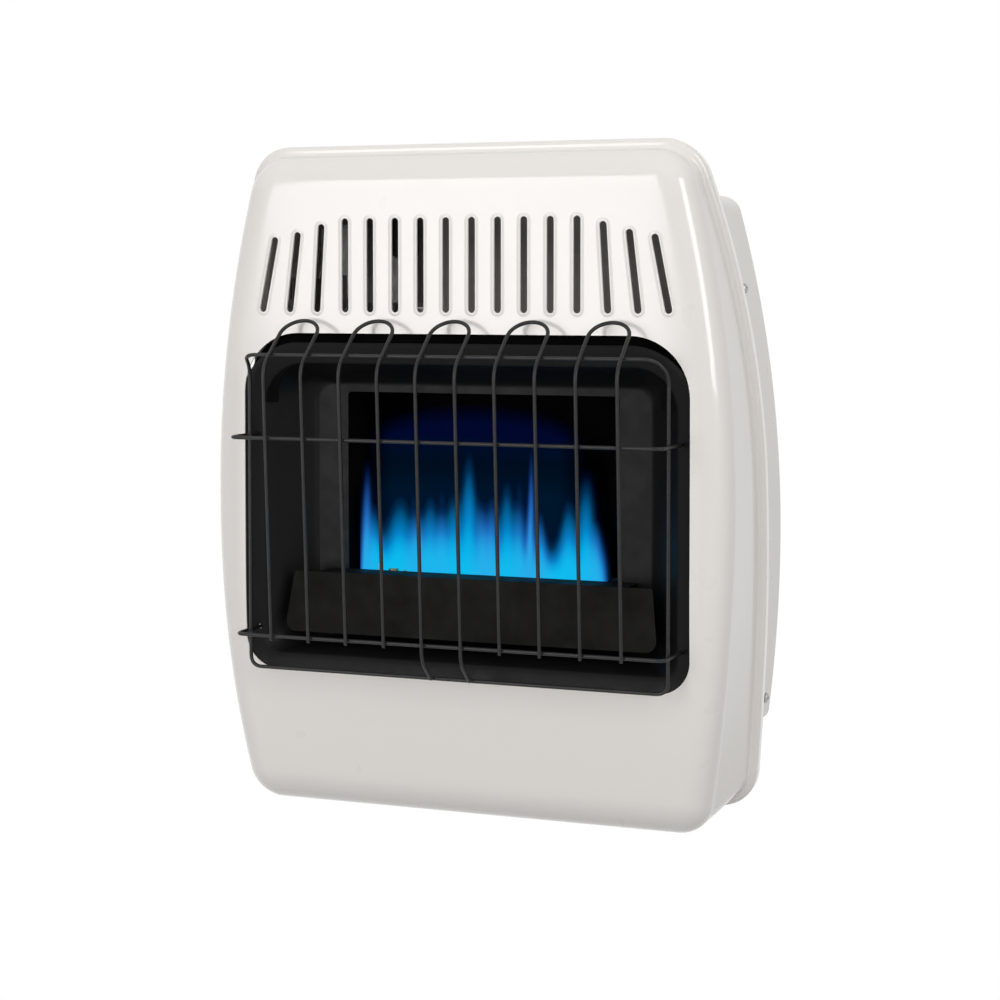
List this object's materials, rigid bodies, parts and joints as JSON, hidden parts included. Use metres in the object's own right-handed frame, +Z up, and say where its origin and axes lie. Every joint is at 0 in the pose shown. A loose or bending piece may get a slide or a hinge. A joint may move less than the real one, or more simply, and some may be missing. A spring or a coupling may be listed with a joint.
{
  "type": "wall mounted gas heater",
  "caption": "Wall mounted blue flame gas room heater: enamelled front casing with louvre slots, wide window, wire guard, burner box, valve, regulator and igniter.",
  "frame": {"origin": "middle of the back panel's rear face, which lies against the wall", "axes": "+Y points into the wall, so the front faces -Y; +Z is up; +X is to the right of someone facing the heater"},
  "size_m": [0.478, 0.217, 0.561],
  "materials": {
    "enamel": "glossy warm off-white enamel",
    "coated_steel": "satin pale coated sheet",
    "black_enamel": "satin black heat-proof enamel",
    "black_shield": "matt black heat-proof paint, slightly mottled",
    "black_firebox": "matt black heat-proof paint",
    "guard_wire": "satin black coated wire",
    "zinc_steel": "zinc plated",
    "aluminised_steel": "dull aluminised sheet",
    "burner_steel": "heat-dulled stainless steel",
    "cast_alloy": "fine-grained die cast body",
    "pipe_aluminium": "drawn tube",
    "brass": "machined brass",
    "black_plastic": "fine-textured moulded plastic",
    "lead_rubber": "silicone insulation",
    "ceramic": "glazed white ceramic"
  },
  "bodies": {
    "root": {"front_casing": "enamel", "rear_casing": "enamel", "back_panel": "aluminised_steel", "wall_bracket": "zinc_steel", "side_screw_upper_left": "zinc_steel", "side_screw_upper_right": "zinc_steel", "side_screw_lower_left": "zinc_steel", "side_screw_lower_right": "zinc_steel", "window_surround": "black_enamel", "flame_shield": "black_shield", "firebox": "black_firebox", "firebox_stay_left": "aluminised_steel", "firebox_stay_right": "aluminised_steel", "heat_deflector": "aluminised_steel", "burner": "burner_steel", "burner_venturi": "burner_steel", "burner_foot_left": "aluminised_steel", "burner_foot_right": "aluminised_steel", "inlet_fitting": "brass", "inlet_pipe": "pipe_aluminium", "regulator": "cast_alloy", "regulator_union": "brass", "supply_pipe": "pipe_aluminium", "manifold_pipe": "pipe_aluminium", "gas_valve": "cast_alloy", "valve_bracket": "coated_steel", "injector": "brass", "injector_bracket": "aluminised_steel", "pilot_bracket": "aluminised_steel", "pilot_burner": "brass", "spark_electrode": "ceramic", "pilot_pipe": "pipe_aluminium", "flame_probe": "zinc_steel", "igniter_lead": "lead_rubber", "igniter_body": "black_plastic", "igniter_nut": "zinc_steel", "guard_hairpin_1": "guard_wire", "guard_hairpin_2": "guard_wire", "guard_hairpin_3": "guard_wire", "guard_hairpin_4": "guard_wire", "guard_hairpin_5": "guard_wire", "guard_cross_upper": "guard_wire", "guard_cross_lower": "guard_wire", "guard_frame": "guard_wire"},
    "push_collar": {"stem_collar": "zinc_steel"},
    "control": {"valve_stem": "brass", "control_knob": "black_plastic"},
    "igniter": {"igniter_button": "black_plastic"}
  },
  "joints": [
    {"name": "control_push", "type": "slide", "parent": "root", "child": "push_collar", "axis": [0, 0, -1], "range_m": [0, 0.004], "stiffness_N_per_m": 1500, "springref_m": -0.003},
    {"name": "control_turn", "type": "hinge", "parent": "push_collar", "child": "control", "pos_m": [-0.148, -0.053, 0.25], "axis": [0, 0, 1], "range_deg": [0, 180]},
    {"name": "igniter_push", "type": "slide", "parent": "root", "child": "igniter", "axis": [0, 0, -1], "range_m": [0, 0.006], "stiffness_N_per_m": 1200, "springref_m": -0.004}
  ]
}
